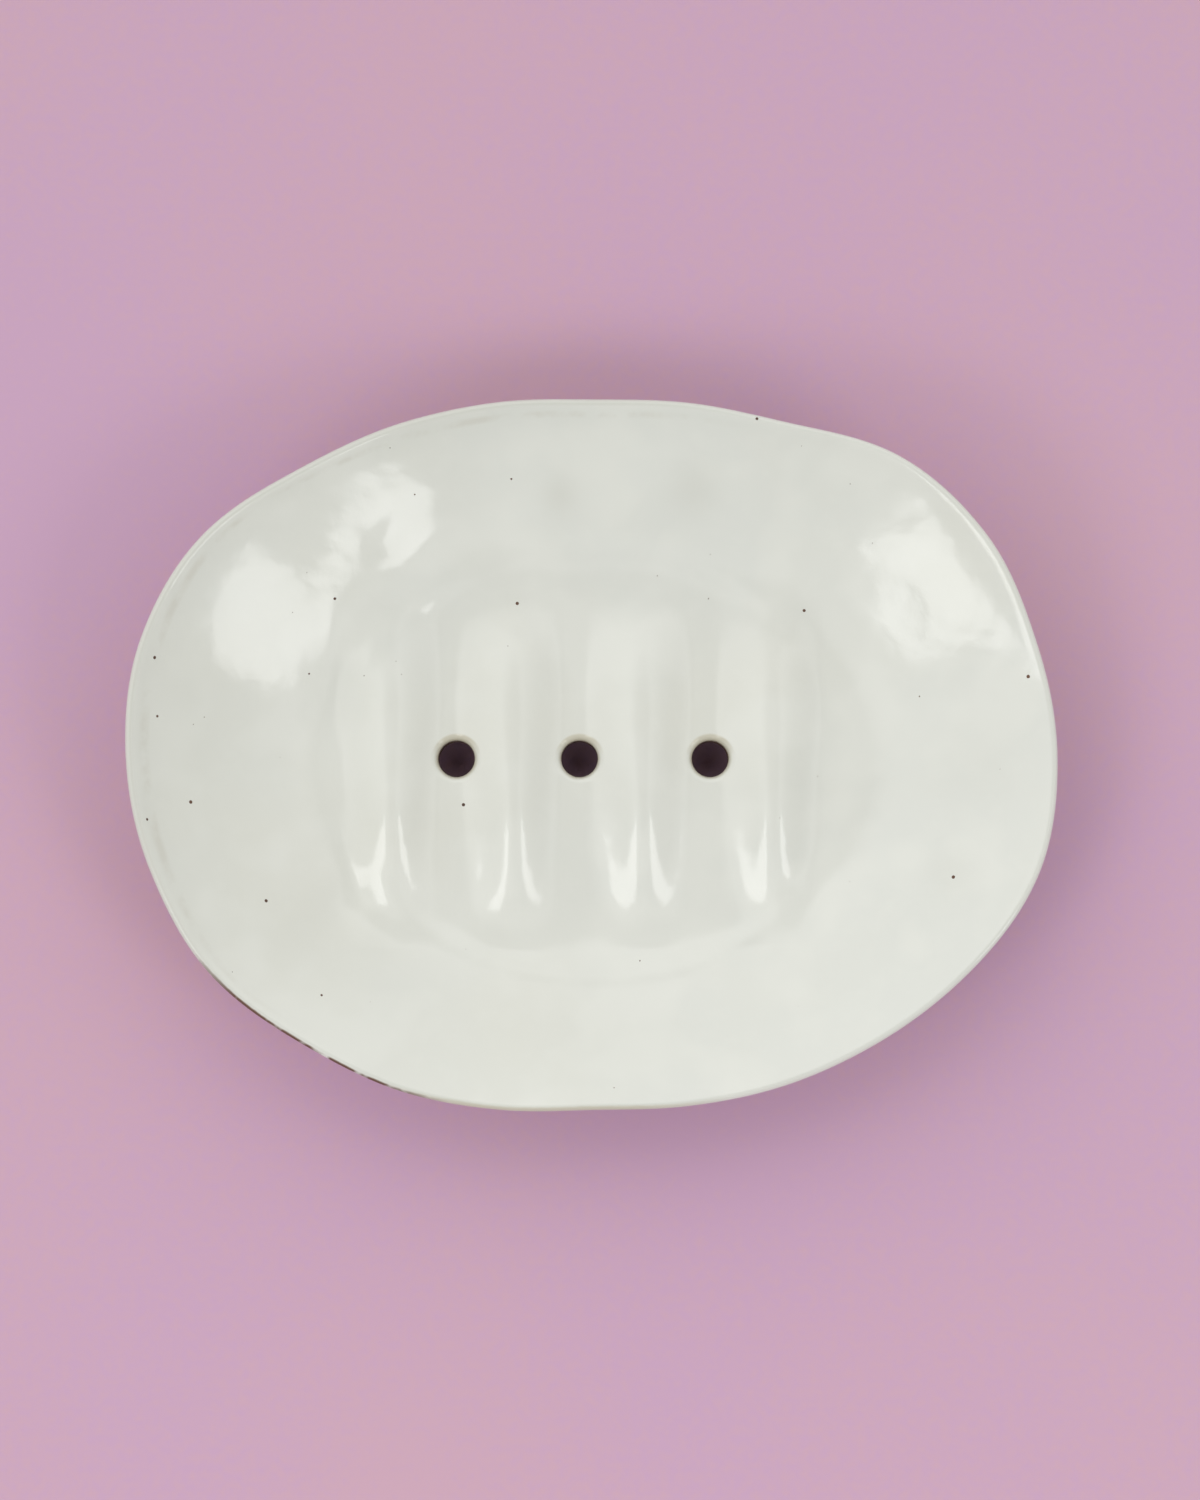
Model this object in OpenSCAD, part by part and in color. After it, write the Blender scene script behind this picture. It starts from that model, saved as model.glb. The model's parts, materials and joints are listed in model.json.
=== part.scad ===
// Hand-pressed oval soap dish, one fired piece of clay under a glaze coat.
// Millimetres. X runs along the dish, Y across it, Z up from the table.
// The origin is on the table, under the middle of the dish.

/* [Dish] */
// Length of the dish over its glaze
dish_length = 150; // [125:1:180]
// Width of the dish over its glaze
dish_width = 115; // [98:1:140]
// Depth of the bowl from its rim to its floor, where the rim's share is 1
bowl_depth = 12; // [8:0.5:18]
// How late the wall rises: 1 is a straight slope, more is a flatter floor and a steeper edge
bowl_curve = 1.16; // [1.05:0.01:1.6]
// How gently the wall and its curl begin, as a share of their width
soft_start_share = 0.14; // [0.05:0.01:0.3]
// Length of the flat floor inside the bowl
floor_length = 90; // [70:1:96]
// Width of the flat floor inside the bowl
floor_width = 59; // [46:1:66]
// Thickness of the clay under the floor
floor_thickness = 5; // [4.5:0.5:8]
// How far the floor falls towards the front
dip_depth = 3; // [0:0.25:3.5]
// Where the floor begins to fall, behind the drain holes
dip_start = 2; // [0:0.5:6]
// Where it is deepest, in front of them
dip_full = 31; // [24:1:34]
// Where the fall begins to fade out, as a share of the way to the rim
dip_reach_share = 0.62; // [0.5:0.02:0.8]

/* [Rim] */
// Height of the rim's outer face over its glaze
rim_thickness = 2.8; // [2.4:0.1:4]
// Rounding of the lip's upper edge
lip_round = 0.8; // [0.8:0.1:1.2]
// Rounding of the lip's lower edge
low_round = 1.1; // [0.8:0.1:1.2]
// How far the rim curls up where its share is 1
curl_height = 2.6; // [0:0.2:3.6]
// Width of the band that curls up
curl_width = 19; // [14:0.5:22]
// How much higher the lip itself is lifted there
lift_height = 0.5; // [0:0.1:0.8]
// Width of the band that this lifts
lift_width = 3.5; // [3:0.5:6]

/* [Underside] */
// Length of the flat base
base_length = 82; // [66:1:92]
// Width of the flat base
base_width = 60; // [48:1:66]
// How late the underside rises from the base to the rim
base_curve = 1.8; // [1.6:0.1:2.4]
// Width of the bare band between the base's edge and the glaze
bare_band = 2.5; // [1:0.5:4]

/* [Glaze] */
// Thickness of the glaze coat
glaze_thickness = 0.4; // [0.3:0.05:0.8]

/* [Drain holes] */
// Number of drain holes
drain_count = 3; // [2:1:4]
// Distance from hole to hole
drain_pitch = 20.8; // [16:0.2:24]
// Diameter of a drain hole
drain_diameter = 6; // [5:0.25:8]
// Width of the rounding at a hole's mouth
mouth_round = 1.2; // [0.6:0.1:2]

/* [Ribs] */
// Height of a rib over the floor
rib_height = 3; // [1:0.25:4]
// Width of a rib's left flank
rib_left = 10; // [6:0.5:10.5]
// Width of its right flank
rib_right = 8; // [6:0.5:10.5]
// How narrow the crest is in front: 1 is a round wave
rib_crest = 1.2; // [0.8:0.05:2]
// How narrow the crest is behind
rib_back_crest = 0.75; // [0.6:0.05:2]
// Half the length over which the one becomes the other, beside the drain holes
rib_crest_change = 9; // [4:0.5:14]
// How blunt the front ends are
rib_front_drop = 2; // [1.5:0.25:4]
// How far the ribs reach in front of the drain holes
rib_front = 31; // [20:1:34]
// How far they are at full height in front of the drain holes
rib_front_full = 6; // [2:1:12]
// How far the ribs reach behind the drain holes
rib_back = 34; // [24:1:38]
// How far they are at full height behind the drain holes
rib_back_full = 7; // [2:1:12]

/* [Feet] */
// Height of the feet
foot_height = 4; // [3:0.5:9]
// Diameter of a foot where it stands
foot_diameter = 11; // [8:0.5:16]
// Diameter of a foot where it joins the base
foot_root_diameter = 14; // [10:0.5:18]
// Rounding of a foot's standing edge
foot_round = 1.5; // [0.5:0.1:2]
// Distance between the feet along the dish
foot_spread_x = 52; // [36:1:58]
// Distance between the feet across the dish
foot_spread_y = 32; // [24:1:36]

/* [Hidden] */
$fn = 72;

// Colours: iron-brown clay, bare feet and a warm grey-white glaze
clay_color = [0.42, 0.27, 0.20];
foot_color = [0.50, 0.33, 0.25];
glaze_color = [0.86, 0.87, 0.82];

// The outline as shares of an oval, every 15 degrees from +X towards +Y
outline_shares = [
    0.995, 1.005, 1.05, 1.07, 1.03, 1.02, 1.01, 1.025, 1.03, 1.025, 1.04, 1.02,
    0.995, 0.995, 1.015, 1.01, 1.015, 1, 0.98, 0.99, 1, 1, 1, 1.005];
// The height of the wall, as shares of bowl_depth, every 22.5 degrees
depth_shares = [0.9, 0.96, 1.1, 1.02, 0.92, 0.68, 1.03, 1.13, 1.02, 0.94, 0.8, 0.74, 0.73, 0.7, 0.74, 0.96];
// How strongly the rim curls up and lifts, as shares of curl_height and lift_height, at the same places
curl_shares = [0, 0.35, 0.4, 0.45, 0.6, 1.35, 0.9, 1, 1.3, 0.9, 0.25, 0, 0, 0, 0, 0.3];
// How far each drain hole sits from its even place, as shares of drain_pitch, repeated if there are more
drain_shift_shares = [-0.08, -0.11, -0.08, -0.05];
// Each rib's height as a share of rib_height, and its crest's shift as a share of drain_pitch, repeated alike
rib_height_shares = [1.15, 1.05, 1.05, 1.05];
rib_shift_shares = [0, -0.03, -0.01, 0];

// Columns of the ribbed field from a crest to the valley beside it
half_rib_columns = 5;
// Its rows in front of, beside and behind the drain holes
front_rows = 6;
middle_rows = 2;
back_rows = 5;
// Rings from the ribbed field to the rim, round the rim, and under the dish
wall_rings = 7;
lip_rings = 2;
low_rings = 2;
under_rings = 5;
// Steps of a small rounding, and of the search for the outline's ends
round_steps = 6;
search_steps = 180;
// Rows crowd towards the front ends of the ribs, columns towards the crests
front_crowding = 0.8;
crest_crowding = 1.25;
// How far a cut runs past a surface
overrun = 1;

floor_z = foot_height + floor_thickness;
drain_r = drain_diameter / 2;

// A smooth closed curve through the shares, read at an angle
function share_at(shares, angle) =
    let (
        n = len(shares),
        turn = ((angle % 360) + 360) % 360 / 360 * n,
        i = floor(turn),
        t = turn - i,
        before = shares[(i + n - 1) % n],
        from = shares[i % n],
        to = shares[(i + 1) % n],
        after = shares[(i + 2) % n]
    )
    from + t / 2 * (to - before
        + t * (2 * before - 5 * from + 4 * to - after
        + t * (3 * (from - to) + after - before)));

function oval_r(angle, length, width) =
    1 / sqrt(pow(cos(angle) / (length / 2), 2) + pow(sin(angle) / (width / 2), 2));

function swollen_point(angle, length, width) =
    share_at(outline_shares, angle) * oval_r(angle, length, width) * [cos(angle), sin(angle)];

function reach(points, axis) = [min([for (p = points) p[axis]]), max([for (p = points) p[axis]])];

// The outline walked round in even steps
function walked_points(length, width) =
    [for (i = [0:search_steps - 1]) swollen_point(360 * i / search_steps, length, width)];

// The oval is shorter than the dish, by what its swellings add, and it stands a little off the origin
plain_points = walked_points(dish_length, dish_width);
plain_x = reach(plain_points, 0);
plain_y = reach(plain_points, 1);
oval_length = dish_length * dish_length / (plain_x[1] - plain_x[0]);
oval_width = dish_width * dish_width / (plain_y[1] - plain_y[0]);
outline_points = walked_points(oval_length, oval_width);
outline_x = reach(outline_points, 0);
outline_y = reach(outline_points, 1);
form_centre = -[outline_x[0] + outline_x[1], outline_y[0] + outline_y[1]] / 2;

function outline_r(angle) = norm(swollen_point(angle, oval_length, oval_width));

// The dish cut along one ray from its middle. The skin is 0 for the clay and glaze_thickness for the coat.
// [0] ray angle, [1] skin, [2] the lip's upper rounding, [3] its lower one, [4] floor radius, [5] base radius,
// [6] curl, [7] lift, [8] wall's slope at the lip, [9] underside's slope there.
// Each rounding is [its centre's radius from the middle, the centre's height, its own radius].
function section(angle, skin) =
    let (
        curl = curl_height * share_at(curl_shares, angle),
        lift = lift_height * share_at(curl_shares, angle),
        rise = bowl_depth * share_at(depth_shares, angle),
        top_z = floor_z + glaze_thickness + rise + curl + lift,
        inset = glaze_thickness - skin,
        lip = [outline_r(angle) - lip_round, top_z - lip_round, lip_round - inset],
        low = [outline_r(angle) - low_round, top_z - rim_thickness + low_round, low_round - inset],
        floor_r = oval_r(angle, floor_length, floor_width),
        base_r = oval_r(angle, base_length, base_width),
        slope = atan(bowl_curve * rise / (lip[0] - floor_r) + 2 * curl / curl_width + 2 * lift / lift_width),
        under_slope = atan(base_curve * (low[1] - low[2] - foot_height) / (low[0] - base_r))
    )
    [angle, skin, lip, low, floor_r, base_r, curl, lift, slope, under_slope];

// Where the wall meets the lip's rounding, and where the underside does: [radius, height]
function wall_end(s) = [s[2][0] - s[2][2] * sin(s[8]), s[2][1] + s[2][2] * cos(s[8])];
function under_end(s) = [s[3][0] + s[3][2] * sin(s[9]), s[3][1] - s[3][2] * cos(s[9])];

// Nearly nothing below 0 and nearly t above it
function soft_start(t) =
    (t + sqrt(t * t + pow(soft_start_share, 2))) / (1 + sqrt(1 + pow(soft_start_share, 2)));

// From 0 to 1, level at both ends
function swell(t) = (1 - cos(180 * min(1, max(0, t)))) / 2;

// How far the floor falls at a distance from the middle along a section
function dip_at(s, r) =
    let (y = form_centre[1] + r * sin(s[0]))
    dip_depth * swell((dip_start - y) / (dip_start + dip_full))
        * swell((1 - r / wall_end(s)[0]) / (1 - dip_reach_share));

// Height of the bowl's inner surface on a section
function bowl_z(s, r) =
    let (
        end = wall_end(s),
        foot = floor_z + s[1],
        wall = (end[1] - foot - s[6] - s[7]) * pow(soft_start((r - s[4]) / (end[0] - s[4])), bowl_curve),
        curl = s[6] * pow(soft_start(1 - (end[0] - r) / curl_width), 2),
        lift = s[7] * pow(soft_start(1 - (end[0] - r) / lift_width), 2)
    )
    foot + wall + curl + lift - dip_at(s, r);

// Height of the underside on a section
function under_z(s, r) =
    let (
        end = under_end(s),
        low = foot_height - s[1]
    )
    low + (end[1] - low) * pow(max(0, (r - s[5]) / (end[0] - s[5])), base_curve);

// Drain holes stand in a row, and a rib's crest lies midway between two holes
drains = [for (i = [0:drain_count - 1])
    (i - (drain_count - 1) / 2 + drain_shift_shares[i % len(drain_shift_shares)]) * drain_pitch];
crests = [for (i = [0:drain_count])
    rib_shift_shares[i % len(rib_shift_shares)] * drain_pitch
    + (i == 0 ? drains[0] - drain_pitch / 2
    : i == drain_count ? drains[i - 1] + drain_pitch / 2
    : (drains[i - 1] + drains[i]) / 2)];

// A rib's height at a distance across from its crest, as a share of its full height
function rib_profile(across, y) =
    let (
        away = min(1, max(across / rib_right, -across / rib_left)),
        crest = rib_crest + (rib_back_crest - rib_crest) * swell(y / rib_crest_change / 2 + 1 / 2)
    )
    pow(1 - swell(away), crest);

// The same along the rib
function rib_share(y) =
    y < 0
    ? 1 - pow(min(1, max(0, (-y - rib_front_full) / (rib_front - rib_front_full))), rib_front_drop)
    : 1 - swell((y - rib_back_full) / (rib_back - rib_back_full));

function rib_z(p) = rib_height * rib_share(p[1]) * max([for (i = [0:drain_count])
    rib_height_shares[i % len(rib_height_shares)] * rib_profile(p[0] - crests[i], p[1])]);

function top_point(p, skin) =
    let (
        ray = p - form_centre,
        s = section(atan2(ray[1], ray[0]), skin)
    )
    [p[0], p[1], bowl_z(s, norm(ray)) + rib_z(p)];

// The ribbed field: a grid whose columns follow the crests and valleys
field_knots = [
    crests[0] - drain_pitch / 2,
    for (i = [0:drain_count]) each [crests[i], i < drain_count ? drains[i] : crests[i] + drain_pitch / 2]];
field_x = [
    for (k = [0:len(field_knots) - 2], i = [0:half_rib_columns - 1])
        let (
            t = i / half_rib_columns,
            crowded = k % 2 == 0 ? 1 - pow(1 - t, crest_crowding) : pow(t, crest_crowding)
        )
        field_knots[k] + crowded * (field_knots[k + 1] - field_knots[k]),
    field_knots[len(field_knots) - 1]];
field_y = [
    for (i = [0:front_rows - 1])
        -rib_front_full - (rib_front - rib_front_full) * pow(1 - i / front_rows, front_crowding),
    for (i = [0:middle_rows - 1]) -rib_front_full + (rib_front_full + rib_back_full) * i / middle_rows,
    for (i = [0:back_rows]) rib_back_full + (rib_back - rib_back_full) * i / back_rows];
columns = len(field_x) - 1;
rows = len(field_y) - 1;
field_size = (columns + 1) * (rows + 1);
ring_size = 2 * (columns + rows);

// Grid places round the field's edge, anticlockwise from its front left corner: [column, row]
field_edge = [
    for (i = [0:columns - 1]) [i, 0],
    for (j = [0:rows - 1]) [columns, j],
    for (i = [columns:-1:1]) [i, rows],
    for (j = [rows:-1:1]) [0, j]];

function on_ray(s, r, z) = concat(form_centre + r * [cos(s[0]), sin(s[0])], [z]);

// A point of the lip's upper or lower rounding, where 0 degrees looks outwards and 90 up
function round_point(s, corner, turn) =
    on_ray(s, corner[0] + corner[2] * cos(turn), corner[1] + corner[2] * sin(turn));

// One surface of the dish, from the field over the rim to the line where the glaze ends
function surface_points(skin) =
    let (
        edge = [for (e = field_edge) [field_x[e[0]], field_y[e[1]]] - form_centre],
        cuts = [for (p = edge) section(atan2(p[1], p[0]), skin)]
    )
    [
        for (y = field_y, x = field_x) top_point([x, y], skin),
        for (k = [1:wall_rings], m = [0:ring_size - 1])
            let (
                s = cuts[m],
                start_r = norm(edge[m]),
                r = start_r + (wall_end(s)[0] - start_r) * k / wall_rings,
                p = on_ray(s, r, bowl_z(s, r))
            )
            p + [0, 0, rib_z(p)],
        for (k = [1:lip_rings], m = [0:ring_size - 1])
            round_point(cuts[m], cuts[m][2], (90 + cuts[m][8]) * (1 - k / lip_rings)),
        for (k = [0:low_rings], m = [0:ring_size - 1])
            round_point(cuts[m], cuts[m][3], -(90 - cuts[m][9]) * k / low_rings),
        for (k = [1:under_rings], m = [0:ring_size - 1])
            let (
                s = cuts[m],
                r = under_end(s)[0] + (s[5] + bare_band - under_end(s)[0]) * k / under_rings
            )
            on_ray(s, r, under_z(s, r))];

rings = wall_rings + lip_rings + 1 + low_rings + under_rings;

// Index of a point on ring k, where ring 0 is the field's edge
function ring_index(k, m) =
    let (place = m % ring_size)
    k == 0
    ? field_edge[place][1] * (columns + 1) + field_edge[place][0]
    : field_size + (k - 1) * ring_size + place;

function quad(a, b, c, d) = [[a, b, c], [a, c, d]];

surface_faces = [
    for (j = [0:rows - 1], i = [0:columns - 1])
        let (a = j * (columns + 1) + i)
        each quad(a, a + columns + 1, a + columns + 2, a + 1),
    for (k = [0:rings - 1], m = [0:ring_size - 1])
        each quad(ring_index(k, m), ring_index(k, m + 1), ring_index(k + 1, m + 1), ring_index(k + 1, m))];

clay_points = surface_points(0);
surface_size = field_size + rings * ring_size;

// The clay: the surface, a bare band down to the base's edge, and the flat base
module clay_form() {
    base_edge = [for (e = field_edge)
        let (
            p = [field_x[e[0]], field_y[e[1]]] - form_centre,
            s = section(atan2(p[1], p[0]), 0)
        )
        on_ray(s, s[5], foot_height)];
    band = [for (m = [0:ring_size - 1])
        each quad(
            ring_index(rings, m), ring_index(rings, m + 1),
            surface_size + (m + 1) % ring_size, surface_size + m)];
    base = [[for (m = [0:ring_size - 1]) surface_size + m]];
    polyhedron(concat(clay_points, base_edge), concat(surface_faces, band, base));
}

// The coat: its outer surface, the clay's surface turned inwards, and the glaze line's narrow edge
module coat_form() {
    inside = [for (f = surface_faces) [for (i = [2:-1:0]) f[i] + surface_size]];
    line = [for (m = [0:ring_size - 1])
        each quad(
            ring_index(rings, m), ring_index(rings, m + 1),
            ring_index(rings, m + 1) + surface_size, ring_index(rings, m) + surface_size)];
    polyhedron(
        concat(surface_points(glaze_thickness), clay_points),
        concat(surface_faces, inside, line));
}

// A drain hole and its rounded mouth, as the solid that is cut away
module drain_cut() {
    mouth_z = floor_z + glaze_thickness;
    translate([0, 0, -overrun]) cylinder(h = mouth_z + 2 * overrun, r = drain_r);
    translate([0, 0, mouth_z - mouth_round])
        rotate_extrude()
            polygon([
                [0, 0],
                for (i = [0:round_steps])
                    let (turn = 90 * i / round_steps)
                    [drain_r + mouth_round * (1 - cos(turn)), mouth_round * sin(turn)],
                [drain_r + mouth_round, mouth_round + overrun],
                [0, mouth_round + overrun]]);
}

module drained() {
    difference() {
        children();
        for (x = drains) translate([x, 0, 0]) drain_cut();
    }
}

module clay_body() {
    color(clay_color) drained() clay_form();
}

module glaze_coat() {
    color(glaze_color) drained() coat_form();
}

// A foot: a small pad of clay, rounded where it stands and flared where it joins the base
module foot(side_x, side_y) {
    foot_r = foot_diameter / 2;
    flare = foot_root_diameter / 2 - foot_r;
    translate([side_x * foot_spread_x / 2, side_y * foot_spread_y / 2, 0])
        rotate_extrude()
            polygon([
                [0, 0],
                for (i = [0:round_steps])
                    let (turn = 90 * i / round_steps)
                    [foot_r - foot_round * (1 - sin(turn)), foot_round * (1 - cos(turn))],
                for (i = [1:round_steps])
                    let (turn = 90 * i / round_steps)
                    [foot_r + flare * (1 - cos(turn)), foot_round + (foot_height - foot_round) * sin(turn)],
                [0, foot_height]]);
}

module foot_front_left() { color(foot_color) foot(-1, -1); }
module foot_front_right() { color(foot_color) foot(1, -1); }
module foot_back_left() { color(foot_color) foot(-1, 1); }
module foot_back_right() { color(foot_color) foot(1, 1); }

clay_body();
glaze_coat();
foot_front_left();
foot_front_right();
foot_back_left();
foot_back_right();
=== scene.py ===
# A hand-pressed soap dish: clay body under a glossy glaze, four ribs, three drain holes, four luted feet.
# Sizes are in millimetres until the last step of each node tree, which turns them into metres.
import json
import math

import bpy
import numpy as np
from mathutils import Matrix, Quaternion, Vector


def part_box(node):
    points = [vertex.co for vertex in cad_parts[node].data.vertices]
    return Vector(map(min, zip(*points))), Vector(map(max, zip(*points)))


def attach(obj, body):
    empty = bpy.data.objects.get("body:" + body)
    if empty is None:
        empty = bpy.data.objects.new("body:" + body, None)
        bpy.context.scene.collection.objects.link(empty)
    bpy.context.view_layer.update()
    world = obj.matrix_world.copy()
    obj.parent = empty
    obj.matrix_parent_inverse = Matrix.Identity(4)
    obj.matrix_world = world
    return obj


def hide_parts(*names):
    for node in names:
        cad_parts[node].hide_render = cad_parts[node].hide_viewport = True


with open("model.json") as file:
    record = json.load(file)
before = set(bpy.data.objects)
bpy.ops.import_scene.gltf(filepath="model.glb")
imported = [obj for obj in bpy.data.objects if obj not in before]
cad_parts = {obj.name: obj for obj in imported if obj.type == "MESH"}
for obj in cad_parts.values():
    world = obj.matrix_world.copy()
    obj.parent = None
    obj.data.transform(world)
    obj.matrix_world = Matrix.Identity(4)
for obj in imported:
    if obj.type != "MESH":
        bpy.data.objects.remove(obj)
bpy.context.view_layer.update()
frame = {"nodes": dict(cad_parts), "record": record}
print("frame loaded:", ", ".join(sorted(frame["nodes"])))

mm = 0.001  # one millimetre in metres
openings = frame["record"]["physics"]["openings"]


def boxMiddle(low, high):
    return [(a + b) / 2 / mm for a, b in zip(low, high)]


# The unit vector at an azimuth and an elevation in degrees
def heading(azimuth, elevation):
    turn, rise = math.radians(azimuth), math.radians(elevation)
    return Vector((math.cos(turn) * math.cos(rise), math.sin(turn) * math.cos(rise), math.sin(rise)))


# Places that come from the frame: the drain holes, and the plane of the flat base
drains = [boxMiddle(*o["box_m"]) for o in openings if o["name"].startswith("drain")]
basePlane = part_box("clay_body")[0].z / mm

dish = {
    "length": 149.86,  # the CAD outline has fewer corners and so reaches a little less far than 150
    "width": 114.98,
    "bowlDepth": 12,
    "bowlCurve": 1.16,  # 1 is a straight slope, more is a flatter floor and a steeper edge
    "floorLength": 90,
    "floorWidth": 59,
    "floorThickness": 5,
    "rimThickness": 2.8,
    "lipRound": 0.8,  # of the glazed lip's upper edge
    "lowRound": 1.1,  # of its lower edge
    "curlHeight": 2.6,
    "curlWidth": 19,
    "lipRise": 0.5,  # the last bit of the curl, close to the lip
    "lipWidth": 3.5,
    # a low ring that the press left round the ribbed floor
    "ringHeight": 0.2,
    "ringLength": 85,
    "ringWidth": 70,
    "ringSpread": 1.7,
    "baseLength": 82,
    "baseWidth": 60,
    "baseCurve": 1.8,
    "softness": 0.14,  # how gently the wall and the curl begin
    # the floor falls towards the front, and comes up again below the front wall
    "dipDepth": 3,
    "dipStart": 2,
    "dipFull": 31,
    "dipReach": 0.62,  # where it fades out, as a share of the way to the rim
    # shares of an oval every 15 degrees, and of the depth and the curl every 22.5, from +X towards +Y
    "outlineShares": [
        0.995, 1.005, 1.05, 1.07, 1.03, 1.02, 1.01, 1.025, 1.03, 1.025, 1.04, 1.02,
        0.995, 0.995, 1.015, 1.01, 1.015, 1, 0.98, 0.99, 1, 1, 1, 1.005],
    "depthShares": [
        0.9, 0.96, 1.1, 1.02, 0.92, 0.68, 1.03, 1.12,
        1.02, 0.94, 0.8, 0.74, 0.73, 0.7, 0.74, 0.96],
    "curlShares": [0, 0.35, 0.4, 0.45, 0.6, 1.35, 0.9, 1, 1.3, 0.9, 0.25, 0, 0, 0, 0, 0.3],
}
glaze = {
    "thickness": 0.4,
    "bareBand": 2.5,  # bare clay between the base's edge and the glaze
    "lineWave": 0.9,  # how far the glaze line strays from its band
    "lineReach": 3,  # radius of the circle in the noise from which these waves are read
    "lineScale": 1.6,
    "run": 1.6,  # how far the glaze runs down a drain hole
}
holes = {
    "radius": 3,
    "mouth": 1.2,  # rounding of the mouth
    "exit": 0.5,  # how much the radius grows where a hole leaves the base
    "cell": 8.4,  # half the side of the square of floor round a hole
    "exitCell": 0.75,  # the same on the base, as a share of it
    "baseEnds": 3,  # how far the base's grid goes beyond the squares, along their row
    "baseSides": 4,  # and across it
}
ribs = {
    "pitch": 20.8,
    "height": 3,
    "halfLeft": 10,
    "halfRight": 8,
    "crest": 1.2,  # 1 is a round wave, more is a narrower crest
    "crestBack": 0.75,  # the same behind the drain holes
    "crestChange": 9,  # half the length over which one becomes the other
    "heightShares": [1.15, 1.05, 1.05, 1.05],
    "crestShifts": [0, -0.6, -0.2, 0],
    "front": 31,
    "frontFull": 6,
    "frontDrop": 2,  # how blunt the front ends are
    "back": 34,
    "backFull": 7,
}
hand = {
    "waves": 0.12,  # height of the slow unevenness of a hand-pressed slab
    "waveScale": 0.03,
    "waveRoughness": 0.45,
    "waveSeed": 7,
    # where the fingers pressed: x, y, reach along and across, turn in degrees and depth,
    # where a depth of less than 0 is a swelling
    "presses": [
        (-33.5, 35.5, 6, 3, 53, -0.5), (-24.5, 36, 4.2, 9, 83, 0.4), (-44, 32, 5.5, 9, -8, -0.5),
        (-51, 24.5, 8, 5, 37, -0.35),
        (-9.2, 40.7, 6.5, 6.5, 0, -0.8), (10, 42.8, 6.5, 6.5, 0, -0.8),
        (52, 24, 6, 6, 0, -0.25), (64, 34, 22, 6.5, -58, -1),
        # beside the front ends of the ribs
        (-41, -25, 8, 5, 41, 1.2), (-33.5, -28, 4.5, 4, 0, 0.8), (-27, -21, 8, 4.2, 71, -0.6),
        (-17, -14, 2, 8, 0, 0.35), (-15, -26, 6, 6, 0, 0.4), (-16, -24, 3, 5, -23, -0.3),
        (-8.5, -24, 6, 8, -56, -0.5),
        (4, -13, 2, 8, 0, 0.35), (6.5, -26, 8, 7, 0, 0.6), (13, -24, 6, 8, -56, -0.4),
        (25.5, -13, 2, 8, 0, 0.35), (28, -25.5, 8, 7, 0, 0.67), (34, -24, 6, 7, -56, -0.4),
        # over the hollow between the ribbed floor and the front wall
        (6, -34, 17, 5, 2, -0.6), (36.5, -26.5, 9, 4.5, 42, -0.6)],
}
# How fine the blank is: steps in millimetres and counts of rows
mesh = {
    "cell": 0.75,
    "wallStep": 0.75,
    "rimSteps": 16,
    "lipSteps": 7,
    "lowSteps": 7,
    "underStep": 1.1,
    "beadSteps": 5,
    "baseSteps": 10,
    "mouthSteps": 8,
    "runSteps": 6,
    "deepSteps": 6,
    "holeRings": 9,
    "crowding": 0.6,  # how much closer the rings lie near the mouth
    "outlineSteps": 720,
    "fitSteps": 2,  # rounds in which the outline comes to its length and width
    "solveSteps": 3,  # rounds in which the wall and the lip's rounding find where they meet
    "weld": 0.002,  # points closer than this become one
    "nearest": 0.001,  # to an axis, so that nothing is divided by 0
}


# A new object in the scene
def addObject(name, data):
    thing = bpy.data.objects.new(name, data)
    bpy.context.scene.collection.objects.link(thing)
    return thing


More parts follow.
